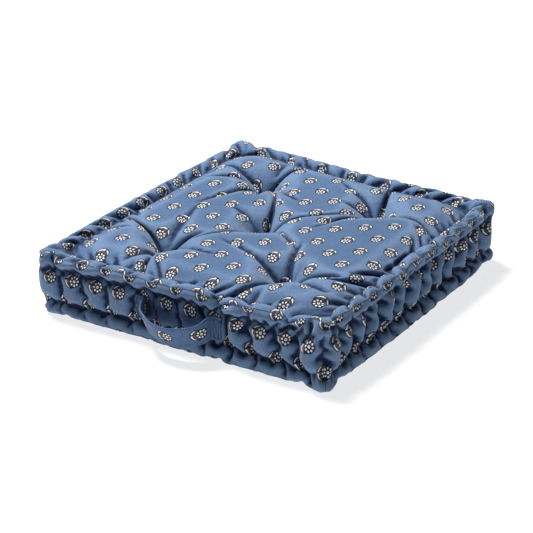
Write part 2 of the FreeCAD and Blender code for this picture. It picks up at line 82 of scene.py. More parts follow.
CELLS = 128  # grid cells along each side
ROWS = 26  # grid cells down the boxing
PANEL_FLAT = 0.555  # side of the square a panel is cut from
BOXING_FLAT = 0.615  # length of a side strip before it is gathered
BOXING_PRINT_STRETCH = 1.13  # the rows of print are this much further apart on the side strips
SEAM_ANGLE = math.radians(45)  # where the seam sits on the roll, above its outermost line
ARC_PANEL = ROLL_R * math.radians(145)  # cloth of the panel round a roll
ARC_BOXING = ROLL_R * math.radians(130)
WALL_FLAT = 0.062
BOXING_HEIGHT = 2 * ARC_BOXING + WALL_FLAT
PANEL_GROOVE = round(ARC_PANEL / (PANEL_FLAT / CELLS))  # grid line of the panel's roll stitching
WALL_GROOVE = round(ARC_BOXING / (BOXING_HEIGHT / ROWS))  # grid line of the boxing's roll stitching
FRONT, RIGHT, BACK, LEFT = range(4)
WALL_TOP_Z, WALL_BOTTOM_Z = 77 * MM, 23 * MM  # the grooves between the wall and the two rolls
GROOVE_INSET = 24 * MM  # from the cushion's side to the stitching along the inside of a roll
SEAM_INSET = 3.5 * MM  # from the cushion's side to the seam at its edge
GROOVE_SIDE = GROOVE_INSET + 0.3 * MM  # where a tight stitch holds that line
CEILING, OVERHANG = 106.5 * MM, 4 * MM  # the cloth stays below this, and this near the sides' planes
CROWN_Z = 105.5 * MM  # the panel stays below this, less its dip at the edge and in the creases


def wall_z(t):
    """Height on the wall, t of the way down from its upper groove to its lower one."""
    return WALL_TOP_Z + (WALL_BOTTOM_Z - WALL_TOP_Z) * t


def panel_inset(d):
    """How far in from the seam-to-seam square a point lies, at flat distance d from the seam."""
    angle = SEAM_ANGLE + d / ROLL_R
    on_roll = ROLL_R - ROLL_R * np.cos(angle)
    start = ROLL_R - ROLL_R * math.cos(math.radians(190))
    beyond = start + (d - ARC_PANEL) * (HALF - start) / (PANEL_FLAT / 2 - ARC_PANEL)
    return np.where(d < ARC_PANEL, on_roll, beyond)


def roll_height(d):
    return ROLL_R * np.sin(SEAM_ANGLE + d / ROLL_R)


def distance_to_segment(x, y, a, b):
    ax, ay = a
    dx, dy = b[0] - ax, b[1] - ay
    t = np.clip(((x - ax) * dx + (y - ay) * dy) / (dx * dx + dy * dy), 0, 1)
    return np.hypot(x - ax - t * dx, y - ay - t * dy), t


# The creases that run out from each tuft: their directions in plan, and how far they reach
RAYS = [(-0.27, 0.96), (-0.93, 0.37), (-0.32, -0.95), (0.97, -0.24)]
CENTRE_REACH, OUTER_REACH, CREASE_WIDTH = 85 * MM, 125 * MM, 3.6 * MM


def ray_drop(x, y):
    """How far the creases that run out from the tufts lie below the crown, at a plan point."""
    drop = np.zeros_like(x)
    for number, (tx, ty) in enumerate(TUFTS):
        reach = OUTER_REACH if number else CENTRE_REACH
        for turn, (rx, ry) in enumerate(RAYS):
            swing = math.radians(7.0 * math.sin(3.1 * number + 1.7 * turn))
            dx = rx * math.cos(swing) - ry * math.sin(swing)
            dy = rx * math.sin(swing) + ry * math.cos(swing)
            scale = 1.0 + 0.18 * math.sin(2.3 * number + 2.9 * turn)
            end = (tx + dx * reach * scale, ty + dy * reach * scale)
            distance, t = distance_to_segment(x, y, (tx, ty), end)
            along = t * reach * scale
            depth = 0.030 * np.exp(-along / 0.022) + 0.015 * (1 - t)
            drop = np.maximum(drop, depth * np.exp(-((distance / CREASE_WIDTH) ** 2)))
    return drop


EDGE_RISE, TUFT_SPREAD = 55 * MM, 24 * MM  # how far in the pillow's rise and a tuft's pull reach


def field_height(x, y, crown, tuft_drop):
    """Pillow height over the roll's groove at a plan point."""
    inward = HALF - GROOVE_INSET - np.maximum(np.abs(x), np.abs(y))
    z = crown * np.sqrt(1 - (1 - np.clip(inward / EDGE_RISE, 0, 1)) ** 2)
    for tx, ty in TUFTS:
        r = np.hypot(x - tx, y - ty)
        z = np.minimum(z, crown - tuft_drop + (tuft_drop + 0.004) * (1 - np.exp(-r / TUFT_SPREAD)))
    return z


def build_cover():
    """The welded grid: top panel, four boxing strips and bottom panel."""
    points, index = [], {}
    faces, face_uv = [], []

    def put(key, position):
        if key not in index:
            index[key] = len(points)
            points.append(position)
        return index[key]

    flat = np.linspace(-PANEL_FLAT / 2, PANEL_FLAT / 2, CELLS + 1)
    edge = PANEL_FLAT / 2 - np.abs(flat)
    across = np.sign(flat) * (HALF - panel_inset(edge))
    gx, gy = np.meshgrid(across, across, indexing="ij")
    ex, ey = np.meshgrid(edge, edge, indexing="ij")
    near = np.minimum(ex, ey)
    top = np.where(
        near < ARC_PANEL,
        TOP_ROLL_Z + roll_height(near),
        TOP_ROLL_Z - 0.002 + field_height(gx, gy, 0.013, 0.040) - 0.5 * ray_drop(gx, gy),
    )
    bottom = np.where(
        near < ARC_PANEL,
        BOTTOM_ROLL_Z - roll_height(near),
        np.maximum(0.0, BOTTOM_ROLL_Z + 0.002 - field_height(gx, gy, 0.014, 0.028)),
    )
    n = CELLS

    def perimeter(i, j):
        """Running number of a border point, anticlockwise from the front left corner."""
        if j == 0:
            return i
        if i == n:
            return n + j
        if j == n:
            return 2 * n + (n - i)
        return (3 * n + (n - j)) % (4 * n)

    columns = 4 * n
    grids, border = {}, [None] * columns
    for face, height in (("top", top), ("bottom", bottom)):
        ids = np.zeros((n + 1, n + 1), int)
        for i in range(n + 1):
            for j in range(n + 1):
                key = (face, i, j)
                if i in (0, n) or j in (0, n):
                    key = (face, "edge", perimeter(i, j))
                    border[perimeter(i, j)] = (gx[i, j], gy[i, j])
                ids[i, j] = put(key, (gx[i, j], gy[i, j], height[i, j]))
        grids[face] = ids
        for i in range(n):
            for j in range(n):
                ring = [(i, j), (i + 1, j), (i + 1, j + 1), (i, j + 1)]
                if face == "bottom":
                    ring.reverse()
                faces.append([ids[p] for p in ring])
                sign = 1 if face == "top" else -1
                # the motif runs along Y on the panels
                face_uv.append([(-flat[b] * sign, flat[a]) for a, b in ring])

    # the boxing, column by column round the perimeter
    inset, level = [], []
    for s in np.linspace(0, BOXING_HEIGHT, ROWS + 1):
        from_seam = min(s, BOXING_HEIGHT - s)
        if from_seam < ARC_BOXING:
            angle = SEAM_ANGLE - from_seam / ROLL_R
            up = ROLL_R * math.sin(angle)
            inset.append(ROLL_R - ROLL_R * math.cos(angle))
            level.append(TOP_ROLL_Z + up if s == from_seam else BOTTOM_ROLL_Z - up)
        else:
            t = (s - ARC_BOXING) / WALL_FLAT
            inset.append((10.8 - 7.0 * math.sin(math.pi * t)) * MM)
            level.append((76.0 - 52.0 * t) * MM)
    box = np.zeros((columns, ROWS + 1), int)
    for c in range(columns):
        x, y = border[c]
        for r in range(ROWS + 1):
            scale = (HALF - inset[r]) / (HALF - inset[0])
            key = {0: ("top", "edge", c), ROWS: ("bottom", "edge", c)}.get(r, ("box", c, r))
            box[c, r] = put(key, (x * scale, y * scale, level[r]))
    printed = BOXING_HEIGHT / BOXING_PRINT_STRETCH
    for c in range(columns):
        after = (c + 1) % columns
        along = c % n
        for r in range(ROWS):
            faces.append([box[c, r], box[c, r + 1], box[after, r + 1], box[after, r]])
            corners = ((along, r), (along, r + 1), (along + 1, r + 1), (along + 1, r))
            face_uv.append([((a / n - 0.5) * BOXING_FLAT, -b / ROWS * printed) for a, b in corners])
    arrays = {"points": np.array(points), "faces": np.array(faces), "uv": np.array(face_uv)}
    return {**arrays, **grids, "box": box}


# ---- the cloth solver


def colour(pairs):
    """Shares the pairs out into groups in which no point appears twice."""
    used, groups = {}, []
    for k, (a, b) in enumerate(pairs):
        taken = used.get(a, 0) | used.get(b, 0)
        c = (~taken & (taken + 1)).bit_length() - 1
        used[a] = used.get(a, 0) | (1 << c)
        used[b] = used.get(b, 0) | (1 << c)
        while len(groups) <= c:
            groups.append([])
        groups[c].append(k)
    return [np.array(g) for g in groups]


def add_up(index, values, count):
    """The sum of the rows of values that each of the count points gets."""
    return np.stack([np.bincount(index, values[:, axis], count) for axis in range(3)], 1)


class Cloth:
    """Position-based cloth: distances that resist stretch fully and squeeze a little."""

    def __init__(self, points, faces):
        self.x = points.copy()
        self.v = np.zeros_like(points)
        self.faces = faces
        self.weight = np.ones(len(points))
        self.pairs, self.rest, self.pull, self.squeeze = [], [], [], []

    def link(self, pairs, rest, pull, squeeze):
        self.pairs += [tuple(p) for p in pairs]
        self.rest += list(rest)
        self.pull += [pull] * len(rest)
        self.squeeze += [squeeze] * len(rest)

    def ready(self):
        pairs = np.array(self.pairs)
        rest, pull, squeeze = (np.array(v, float) for v in (self.rest, self.pull, self.squeeze))
        self.batches = []
        for g in colour(self.pairs):
            i, j = pairs[g, 0], pairs[g, 1]
            wi, wj = self.weight[i], self.weight[j]
            total = wi + wj
            live = total > 0
            i, j, wi, wj, total, g = (v[live] for v in (i, j, wi, wj, total, g))
            self.batches.append((i, j, rest[g], pull[g], squeeze[g], wi / total, wj / total))

    def project(self):
        x = self.x
        for i, j, rest, pull, squeeze, wi, wj in self.batches:
            d = x[j] - x[i]
            length = np.sqrt((d * d).sum(1)) + 1e-12
            gap = (length - rest) / length
            step = d * (gap * np.where(gap > 0, pull, squeeze))[:, None]
            x[i] += step * wi[:, None]
            x[j] -= step * wj[:, None]

    def normals(self):
        a, b, c, d = (self.x[self.faces[:, k]] for k in range(4))
        face = np.cross(c - a, d - b)
        out = sum(add_up(self.faces[:, k], face, len(self.x)) for k in range(4))
        return out / (np.linalg.norm(out, axis=1)[:, None] + 1e-12)

    def run(self, steps, sweeps, push, hold, drag=0.85):
        for step in range(steps):
            before = self.x.copy()
            self.x += self.v * self.weight[:, None]
            self.x += self.normals() * (push * self.weight)[:, None]
            for _ in range(sweeps):
                self.project()
                hold(self.x, step / steps)
            self.v = (self.x - before) * drag


def pinch_columns(rng):
    """Each side's roll stitches: (column at the top, column at the bottom, depth)."""
    sides = []
    for side, count in enumerate((12, 13, 13, 12)):
        marks = []
        for k in range(1, count):
            share = k / count
            at = share * CELLS + rng.uniform(-0.9, 0.9)
            lean = rng.uniform(-1.2, 1.2) + (2.4 if side == FRONT else -2.2 if side == RIGHT else 0)
            depth = rng.uniform(0.75, 1.0)
            if side == FRONT and share < 0.62:
                depth *= 0.42
                lean *= 0.3
            if side in (BACK, LEFT):
                depth *= 0.35
            marks.append((int(round(at - lean / 2)), int(round(at + lean / 2)), depth))
        sides.append(marks)
    return sides


# Places where the top roll is drawn almost shut: side, column, radius left in mm
NOTCH_INSET, NOTCH_Z = 15 * MM, 83.5 * MM
NOTCHES = [(FRONT, 82, 4.4), (FRONT, 112, 5.2), (RIGHT, 8, 5.2)]


def gather(side, column):
    """How much of the gathered fullness the wall keeps here."""
    if side == FRONT:
        return 0.35 + 0.65 * smooth(0.50, 0.66, column / CELLS)
    return 0.35 + 0.65 * smooth(0.0, 0.06, column / CELLS) if side == LEFT else 1.0


def panel_point(ids, side, k, lines_in):
    """The grid point k along the side, so many lines in from the seam."""
    n, d = CELLS, lines_in
    return ids[((k, d), (n - d, k), (n - k, n - d), (d, n - k))[side]]


# How far each corner of the sewn cover is pulled out of square at the top and at the bottom, in mm,
# and how far in from the corner that reaches
CORNER_PULL = [
    ((-1, -1), (-4, -11, 0), (0, -9, 0), (0.17, 0.30)),
    ((1, -1), (1, -1, 3), (6, -8, 0), (0.07, 0.07)),
    ((1, 1), (4, 3, 0), (2, 2, 0), (0.20, 0.20)),
    ((-1, 1), (5, 14, 7), (4, 10, 0), (0.30, 0.30)),
]


def corner_pull(x):
    """Shifts that leave the cover a little out of square, as a sewn one is."""
    shift = np.zeros_like(x)
    share = smooth(0.0, 0.1, x[:, 2])[:, None]
    for (sx, sy), high, low, (reach_x, reach_y) in CORNER_PULL:
        near = 1 - smooth(0, reach_x, np.abs(x[:, 0] - sx * HALF))
        near = near * (1 - smooth(0, reach_y, np.abs(x[:, 1] - sy * HALF)))
        move = np.array(high) * share + np.array(low) * (1 - share)
        shift += near[:, None] * move * MM
    return shift


# The part of the front wall that the strap covers: its height, and how far the strap and its loop
# reach to each side
STRAP_LOW, STRAP_HIGH, STRAP_REACH, LOOP_REACH = 22 * MM, 74 * MM, 82 * MM, 50 * MM


def settle_cover(cover):
    """Pulls in the tufts and the roll stitches, and lets the filling push the cloth out."""
    rng = np.random.default_rng(11)
    cloth = Cloth(cover["points"], cover["faces"])
    top, bottom, box = cover["top"], cover["bottom"], cover["box"]
    n = CELLS
    cell = PANEL_FLAT / n
    drop = BOXING_HEIGHT / ROWS
    seam = 2 * (HALF - panel_inset(0.0)) / n

    ring_links = {}
    for ring in (box[:, 0], box[:, ROWS]):
        for a, b in zip(ring, np.roll(ring, -1)):
            ring_links[(min(a, b), max(a, b))] = True
    cloth.link(list(ring_links), [seam * 1.03] * len(ring_links), 1.0, 0.6)

    def add(a, b, rest, pull, squeeze):
        pairs = np.stack([a.ravel(), b.ravel()], 1)
        rest = np.broadcast_to(rest, a.shape).ravel()
        keep = [k for k, p in enumerate(map(tuple, np.sort(pairs, 1))) if p not in ring_links]
        cloth.link(pairs[keep].tolist(), rest[keep], pull, squeeze)

    lines = np.arange(n)
    beyond = np.minimum(lines, n - 1 - lines) - PANEL_GROOVE
    ease = np.where(beyond >= 0, 1 + 0.10 * (1 - smooth(0, 14, beyond)), 1.0) * cell

    def panel_links(ids):
        add(ids[:-1], ids[1:], ease[:, None], 1.0, 0.35)
        add(ids[:, :-1], ids[:, 1:], ease[None, :], 1.0, 0.35)
        add(ids[:-1, :-1], ids[1:, 1:], cell * math.sqrt(2), 0.35, 0.12)
        add(ids[:-1, 1:], ids[1:, :-1], cell * math.sqrt(2), 0.35, 0.12)
        add(ids[:-2], ids[2:], 2 * cell, 0.0, 0.12)
        add(ids[:, :-2], ids[:, 2:], 2 * cell, 0.0, 0.12)

    panel_links(top)
    panel_links(bottom)
    rows = np.arange(ROWS + 1)
    from_seam = np.minimum(rows, ROWS - rows)
    fullness = np.array([gather(*divmod(c, n)) for c in range(4 * n)])
    wide = seam * (1.04 + 0.28 * fullness[:, None] * smooth(0, 5, from_seam)[None, :])
    after = np.roll(box, -1, axis=0)
    add(box, after, wide, 1.0, 0.22)
    add(box[:, :-1], box[:, 1:], drop, 1.0, 0.35)
    slant = np.hypot(wide[:, :-1], drop)
    add(box[:, :-1], after[:, 1:], slant, 0.3, 0.08)
    add(box[:, 1:], after[:, :-1], slant, 0.3, 0.08)
    add(box, np.roll(box, -2, axis=0), 2 * wide, 0.0, 0.08)
    add(box[:, :-2], box[:, 2:], 2 * drop, 0.0, 0.15)

    fixed, fixed_at = [], []
    flat = np.linspace(-PANEL_FLAT / 2, PANEL_FLAT / 2, n + 1)
    across = np.sign(flat) * (HALF - panel_inset(PANEL_FLAT / 2 - np.abs(flat)))
    for x, y in TUFTS:
        i, j = int(np.abs(across - x).argmin()), int(np.abs(across - y).argmin())
        for ids, z in ((top, TOP_TUFT_Z), (bottom, BOTTOM_TUFT_Z)):
            for di, dj in ((0, 0), (1, 0), (-1, 0), (0, 1), (0, -1)):
                fixed.append(ids[i + di, j + dj])
                fixed_at.append((x + di * 1.6 * MM, y + dj * 1.6 * MM, z))

    # leashes: a point, the place it is tied to, and how far it may stray
    tied, tied_to, stray = [], [], []
    outward = [(0, -1), (1, 0), (0, 1), (-1, 0)]

    def leash(v, place, reach):
        tied.append(v)
        tied_to.append(place)
        stray.append(reach)

    def tie(v, side, column, inset, z, reach):
        """A leash to a place so far in from the side, level with a column of the grid."""
        ox, oy = outward[side]
        along = across[column] * (HALF - inset) / (HALF - SEAM_INSET)
        leash(v, (ox * (HALF - inset) - oy * along, oy * (HALF - inset) + ox * along, z), reach)

    stitches = []
    for side, marks in enumerate(pinch_columns(rng)):
        depth_top = {m[0]: m[2] for m in marks}
        depth_bottom = {m[1]: m[2] for m in marks}
        for c in range(PANEL_GROOVE, n - PANEL_GROOVE + 1):
            if c in depth_top:
                z = TOP_ROLL_Z - (1 + 3.5 * depth_top[c]) * MM
                tie(panel_point(top, side, c, PANEL_GROOVE), side, c, GROOVE_SIDE, z, 0.6 * MM)
                stitches.append((side, c, "top"))
            else:
                z = TOP_ROLL_Z
                tie(panel_point(top, side, c, PANEL_GROOVE), side, c, GROOVE_INSET, z, 1.6 * MM)
            z = BOTTOM_ROLL_Z - 3.5 * MM
            reach = 1.0 if c in depth_bottom else 3.0
            tie(panel_point(bottom, side, c, PANEL_GROOVE), side, c, GROOVE_SIDE, z, reach * MM)
            if c in depth_bottom:
                stitches.append((side, c, "bottom"))
        for c in range(4, n - 3):
            for row, z, depths in (
                (WALL_GROOVE, WALL_TOP_Z, depth_top),
                (ROWS - WALL_GROOVE, WALL_BOTTOM_Z, depth_bottom),
            ):
                inset = 9.3 * MM + (6.5 * MM * depths[c] if c in depths else 0)
                tie(box[side * n + c, row], side, c, inset, z, (0.6 if c in depths else 1.8) * MM)
        for c_top, c_bottom, depth in marks:
            for row in range(WALL_GROOVE + 1, ROWS - WALL_GROOVE):
                t = (row - WALL_GROOVE) / (ROWS - 2 * WALL_GROOVE)
                c = int(round(c_top + (c_bottom - c_top) * t))
                inset = (4.5 + 12.5 * depth) * MM
                tie(box[side * n + c, row], side, c, inset, wall_z(t), (0.8 + 4.0 * (1 - depth)) * MM)
            # the pleat carries on round the roll
            pleated = ROLL_R - 4.2 * MM * depth
            for row in range(2, WALL_GROOVE):
                angle = SEAM_ANGLE - row * drop / ROLL_R
                inset = ROLL_R - pleated * math.cos(angle)
                for c, level, up in ((c_top, TOP_ROLL_Z, 1), (c_bottom, BOTTOM_ROLL_Z, -1)):
                    z = level + up * pleated * math.sin(angle)
                    r = row if up > 0 else ROWS - row
                    tie(box[side * n + c, r], side, c, inset, z, 1.2 * MM)
    for corner in range(4):
        sx, sy = ((-1, -1), (1, -1), (1, 1), (-1, 1))[corner]
        # in mm: how far in the seam's corner is held, how far it may stray, and the bottom one's height
        out, reach, low = ((4.0, 0.8, 3.0), (5.0, 3.0, 8.0), (7.0, 1.5, 3.0), (4.0, 1.5, 3.0))[corner]
        c = corner * n
        for row, z in ((0, 97.0 * MM), (ROWS, low * MM)):
            leash(box[c, row], (sx * (HALF - out * MM), sy * (HALF - out * MM), z), reach * MM)
        for row in range(WALL_GROOVE, ROWS - WALL_GROOVE + 1):
            t = (row - WALL_GROOVE) / (ROWS - 2 * WALL_GROOVE)
            middle = math.sin(math.pi * t)
            inset = (5.0 - 2.0 * middle if corner == 0 else 11.0 + 3.0 * middle) * MM
            leash(box[c, row], (sx * (HALF - inset), sy * (HALF - inset), wall_z(t)), 1.2 * MM)
    for side, column, radius in NOTCHES:
        for c, widen in ((column, 0.0), (column + 1, 2.5), (column - 1, 2.5)):
            ring = [box[side * n + c, r] for r in range(WALL_GROOVE)]
            ring += [panel_point(top, side, c, k) for k in range(1, PANEL_GROOVE)]
            for v in ring:
                tie(v, side, c, NOTCH_INSET, NOTCH_Z, (radius + widen) * MM)

    fixed, fixed_at = np.array(fixed), np.array(fixed_at)
    tied, tied_to, stray = np.array(tied), np.array(tied_to), np.array(stray)
    cloth.weight[fixed] = 0.0
    start = cloth.x[fixed].copy()
    top_all = np.unique(top)
    flat_x, flat_y = cloth.x[top_all, 0], cloth.x[top_all, 1]
    inward = HALF - GROOVE_INSET - np.maximum(np.abs(flat_x), np.abs(flat_y))
    edge_dip = np.where(inward > 0, 0.013 * (1 - smooth(-0.004, 0.040, inward)), 0.0)
    ceiling = CROWN_Z - np.maximum(edge_dip, ray_drop(flat_x, flat_y))
    cloth.ready()

    def hold(x, progress):
        g = min(1.0, progress * 4)
        x[fixed] = start + (fixed_at - start) * g
        away = x[tied] - tied_to
        length = np.sqrt((away * away).sum(1)) + 1e-12
        reach = stray + (1 - g) * 0.02
        over = length > reach
        x[tied[over]] = tied_to[over] + away[over] * (reach[over] / length[over])[:, None]
        x[top_all, 2] = np.minimum(x[top_all, 2], ceiling)
        np.clip(x[:, 2], 0.0, CEILING, out=x[:, 2])
        np.clip(x[:, :2], -HALF - OVERHANG, HALF + OVERHANG, out=x[:, :2])
        # the strap's ends lie on the wall, and its loop hangs clear of it
        level = (x[:, 2] > STRAP_LOW) & (x[:, 2] < STRAP_HIGH)
        behind = (np.abs(x[:, 0]) < STRAP_REACH) & (x[:, 1] < -0.2) & level
        ends = behind & (np.abs(x[:, 0]) > LOOP_REACH)
        for where, wall_y in ((ends, -0.2450), (behind, -0.2475)):
            x[:, 1] = np.where(where, np.maximum(x[:, 1], wall_y), x[:, 1])

    steps = ((90, 50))
    cloth.run(steps[0], 5, 0.25 * MM, hold)
    cloth.run(steps[1], 8, 0.14 * MM, lambda x, p: hold(x, 1.0), drag=0.6)
    cloth.x += corner_pull(cloth.x)
    normals = cloth.normals()
    rims = np.unique(np.concatenate([box[:, 0], box[:, ROWS]]))
    cloth.x[rims] -= normals[rims] * 0.7 * MM
    return cloth.x, stitches


# ---- making Blender objects


def new_mesh(name, points, faces):
    mesh = bpy.data.meshes.new(name)
    mesh.from_pydata([tuple(p) for p in points], [], [tuple(int(v) for v in f) for f in faces])
    mesh.update()
    obj = bpy.data.objects.new(name, mesh)
    bpy.context.scene.collection.objects.link(obj)
    return obj


def shade_smooth(mesh):
    for polygon in mesh.polygons:
        polygon.use_smooth = True


def subdivide(obj, **settings):
    """One level of subdivision, applied to the mesh."""
    sub = obj.modifiers.new("smooth", "SUBSURF")
    for key, value in {"levels": 1, "render_levels": 1, **settings}.items():
        setattr(sub, key, value)
    depsgraph = bpy.context.evaluated_depsgraph_get()
    mesh = bpy.data.meshes.new_from_object(obj.evaluated_get(depsgraph), depsgraph=depsgraph)
    obj.modifiers.clear()
    obj.data = mesh
    shade_smooth(mesh)


# ---- materials


class Nodes:
    """Short names for adding and wiring shader nodes."""

    def __init__(self, material):
        material.use_nodes = True
        self.tree = material.node_tree
        self.tree.nodes.clear()

    def add(self, kind, inputs, **settings):
        """A node; inputs are the values or the other nodes' outputs that go into its sockets."""
        node = self.tree.nodes.new(kind)
        for key, value in settings.items():
            setattr(node, key, value)
        for key, value in inputs.items():
            if hasattr(value, "is_output"):
                self.tree.links.new(value, node.inputs[key])
            else:
                node.inputs[key].default_value = value
        return node

    def math(self, operation, *values):
        return self.add("ShaderNodeMath", dict(enumerate(values)), operation=operation).outputs[0]

    def mix(self, factor, a, b):
        return self.add("ShaderNodeMix", {0: factor, 6: a, 7: b}, data_type="RGBA").outputs[2]

    def ramp(self, value, low, high):
        """0 at low and 1 at high, with a smooth step between."""
        inputs = {0: value, 1: low, 2: high}
        return self.add("ShaderNodeMapRange", inputs, interpolation_type="SMOOTHSTEP").outputs[0]

    def noise(self, vector, scale, detail=2.0, roughness=0.5):
        inputs = {"Vector": vector, "Scale": scale, "Detail": detail, "Roughness": roughness}
        return self.add("ShaderNodeTexNoise", inputs).outputs[0]

    def place(self):
        return self.add("ShaderNodeTexCoord", {}).outputs["Object"]

    def bump(self, height, strength, distance, **under):
        """A bumped normal; under may give the Normal that it is added to."""
        inputs = {"Strength": strength, "Distance": distance, "Height": height, **under}
        return self.add("ShaderNodeBump", inputs).outputs[0]

    def surface(self, colour, roughness, more):
        """The shader and the output; more holds its other inputs."""
        shader = self.add("ShaderNodeBsdfPrincipled", {"Base Color": colour, "Roughness": roughness, **more})
        self.add("ShaderNodeOutputMaterial", {0: shader.outputs[0]})


BLUE = (0.096, 0.171, 0.310, 1)
RIDGE_HIGHLIGHT = (0.164, 0.256, 0.412, 1)  # painted highlight: paler on the ridges of the folds
CREASE_SHADE = (0.013, 0.036, 0.100, 1)  # painted shade: darker in the creases
NAVY = (0.010, 0.012, 0.028, 1)
GREY = (0.17, 0.18, 0.22, 1)
CREAM = (0.97, 0.95, 0.94, 1)
PITCH_U, PITCH_V = 0.051, 0.0368  # the print's repeat along a row, and the distance between rows
PRINT_SHIFT = 0.010  # where along the print the strap was cut
# The print's posy, in mm from its middle
PETALS, HUB_X, PETAL_RING, PETAL_R = 8, 4.6, 5.6, 1.35


def cloth_material(name, edge_rows=None):
    """Printed cotton; edge_rows is how far from a strap's middle its two rows of stitches run."""
    material = bpy.data.materials.new(name)
    k = Nodes(material)
    uv = k.add("ShaderNodeUVMap", {}, uv_map="cloth").outputs[0]
    u, v, _ = k.add("ShaderNodeSeparateXYZ", {0: uv}).outputs
    place = k.place()

    # the weave: two crossed sets of threads, with slubs
    pitch = 2 * math.pi / (0.9 * MM)
    warp = k.math("SINE", k.math("MULTIPLY", u, pitch))
    weft = k.math("SINE", k.math("MULTIPLY", v, pitch))
    weave = k.math("MULTIPLY", warp, weft)
    slub = k.noise(uv, 900, 3, 0.6)
    broad = k.noise(place, 9, 3, 0.55)
    fine = k.noise(place, 140, 3, 0.6)

    mottle = k.noise(uv, 330, 3, 0.7)
    hollow = k.add("ShaderNodeAttribute", {}, attribute_name="hollow").outputs["Fac"]
    tint = k.math("MULTIPLY_ADD", broad, 0.30, 0.85)
    for value, gain, least in ((fine, 0.24, 0.88), (slub, 0.8, 0.6), (mottle, 1.0, 0.5), (weave, 0.1, 1.0)):
        tint = k.math("MULTIPLY", tint, k.math("MULTIPLY_ADD", value, gain, least))
    # painted highlight, paler on the ridges, and painted shade, darker and deeper blue in the creases
    base = k.mix(k.ramp(hollow, 0.05, 0.9), k.mix(k.ramp(hollow, -0.05, -0.9), BLUE, RIDGE_HIGHLIGHT), CREASE_SHADE)
    colour_out = k.add("ShaderNodeVectorMath", {0: base, "Scale": tint}, operation="SCALE").outputs[0]

    # the nearest repeat of the print, every other row shifted by half a repeat
    row = k.math("ROUND", k.math("DIVIDE", v, PITCH_V))
    odd = k.math("MULTIPLY", k.math("FLOORED_MODULO", row, 2.0), 0.5)
    along = k.math("SUBTRACT", k.math("DIVIDE", u, PITCH_U), odd)
    cell_u = k.math("SUBTRACT", along, k.math("ROUND", along))
    cell_v = k.math("SUBTRACT", k.math("DIVIDE", v, PITCH_V), row)
    wobble = k.math("MULTIPLY_ADD", k.noise(uv, 300, 1), 1.2, -0.6)
    mu = k.math("ADD", k.math("MULTIPLY", cell_u, PITCH_U / MM), wobble)
    mv = k.math("MULTIPLY", cell_v, PITCH_V / MM)

    def length(dx, dy):
        return k.math("SQRT", k.math("ADD", k.math("MULTIPLY", dx, dx), k.math("MULTIPLY", dy, dy)))

    def distance(x, y, squash=1.0):
        return length(k.math("SUBTRACT", mu, x), k.math("MULTIPLY", k.math("SUBTRACT", mv, y), squash))

    def union(values):
        total = values[0]
        for value in values[1:]:
            total = k.math("MINIMUM", total, value)
        return total

    def disc(x, y, r, squash=1.0):
        return k.math("SUBTRACT", distance(x, y, squash), r)

    def without(a, b):
        return k.math("MAXIMUM", a, k.math("MULTIPLY", b, -1.0))

    ragged = k.math("MULTIPLY_ADD", slub, 1.6, -0.8)
    ground = union([disc(HUB_X, 0.0, 8.8), disc(-1.2, 0.3, 11.4, 1.08)])
    # a ring of petals round an eye
    hub = distance(HUB_X, 0.0)
    angle = k.math("ARCTAN2", mv, k.math("SUBTRACT", mu, HUB_X))
    sector = 2 * math.pi / PETALS
    nearest = k.math("MULTIPLY", k.math("ROUND", k.math("DIVIDE", angle, sector)), sector)
    tangent = k.math("MULTIPLY", k.math("SUBTRACT", angle, nearest), PETAL_RING)
    radial = k.math("MULTIPLY", k.math("SUBTRACT", hub, PETAL_RING), 0.8)
    petals = k.math("SUBTRACT", length(tangent, radial), PETAL_R)
    eye = k.math("SUBTRACT", hub, 2.0)
    pupil = k.math("SUBTRACT", hub, 0.55)
    # a nicked crescent behind it, with leaves between
    outer = without(disc(-1.0, 0.3, 10.0, 1.08), disc(2.2, 0.0, 10.4, 1.05))
    outer = k.math("MAXIMUM", outer, k.math("ADD", mu, 2.0))
    nick = k.math("SUBTRACT", 1.3, k.math("ABSOLUTE", k.math("SUBTRACT", mv, 2.6)))
    outer = k.math("MAXIMUM", outer, nick)
    sprigs = ((-3.6, 5.2, 1.7), (-5.6, 0.0, 1.9, 0.8), (-3.9, -4.9, 1.7), (0.6, 7.4, 1.3))
    leaves = union([disc(*sprig) for sprig in sprigs])
    dark_mask = k.ramp(k.math("ADD", ground, ragged), 0.35, -0.35)
    grey_mask = k.ramp(k.math("ADD", leaves, ragged), 0.4, -0.4)
    pale = union([outer, petals, eye])
    pale_mask = k.ramp(k.math("ADD", pale, k.math("MULTIPLY", ragged, 0.5)), 0.25, -0.25)
    pale_mask = k.math("MULTIPLY", pale_mask, k.ramp(pupil, -0.2, 0.3))
    for mask, cover_share, ink in ((dark_mask, 0.93, NAVY), (grey_mask, 0.8, GREY), (pale_mask, 0.95, CREAM)):
        colour_out = k.mix(k.math("MULTIPLY", mask, cover_share), colour_out, ink)

    if edge_rows:
        # the rows of machine stitches along both edges of the strap
        reach = k.math("ABSOLUTE", v)
        row = k.ramp(k.math("ABSOLUTE", k.math("SUBTRACT", reach, edge_rows)), 0.0006, 0.0002)
        dash = k.ramp(k.math("PINGPONG", u, 0.0015), 0.0001, 0.0004)
        colour_out = k.mix(k.math("MULTIPLY", row, dash), colour_out, (0.03, 0.045, 0.09, 1))

    relief = k.math("ADD", k.math("MULTIPLY", weave, 0.35), k.math("MULTIPLY", slub, 0.8))
    threads = k.bump(relief, 0.35, 0.25 * MM)
    more = {
        "Normal": k.bump(k.noise(place, 60, 3, 0.5), 0.75, 2.5 * MM, Normal=threads),
        "Sheen Weight": 0.3,
        "Sheen Roughness": 0.5,
        "Sheen Tint": (1.0, 0.97, 0.95, 1),
        "Specular IOR Level": 0.25,
    }
    k.surface(colour_out, k.math("MULTIPLY_ADD", slub, 0.15, 0.78), more)
    return material


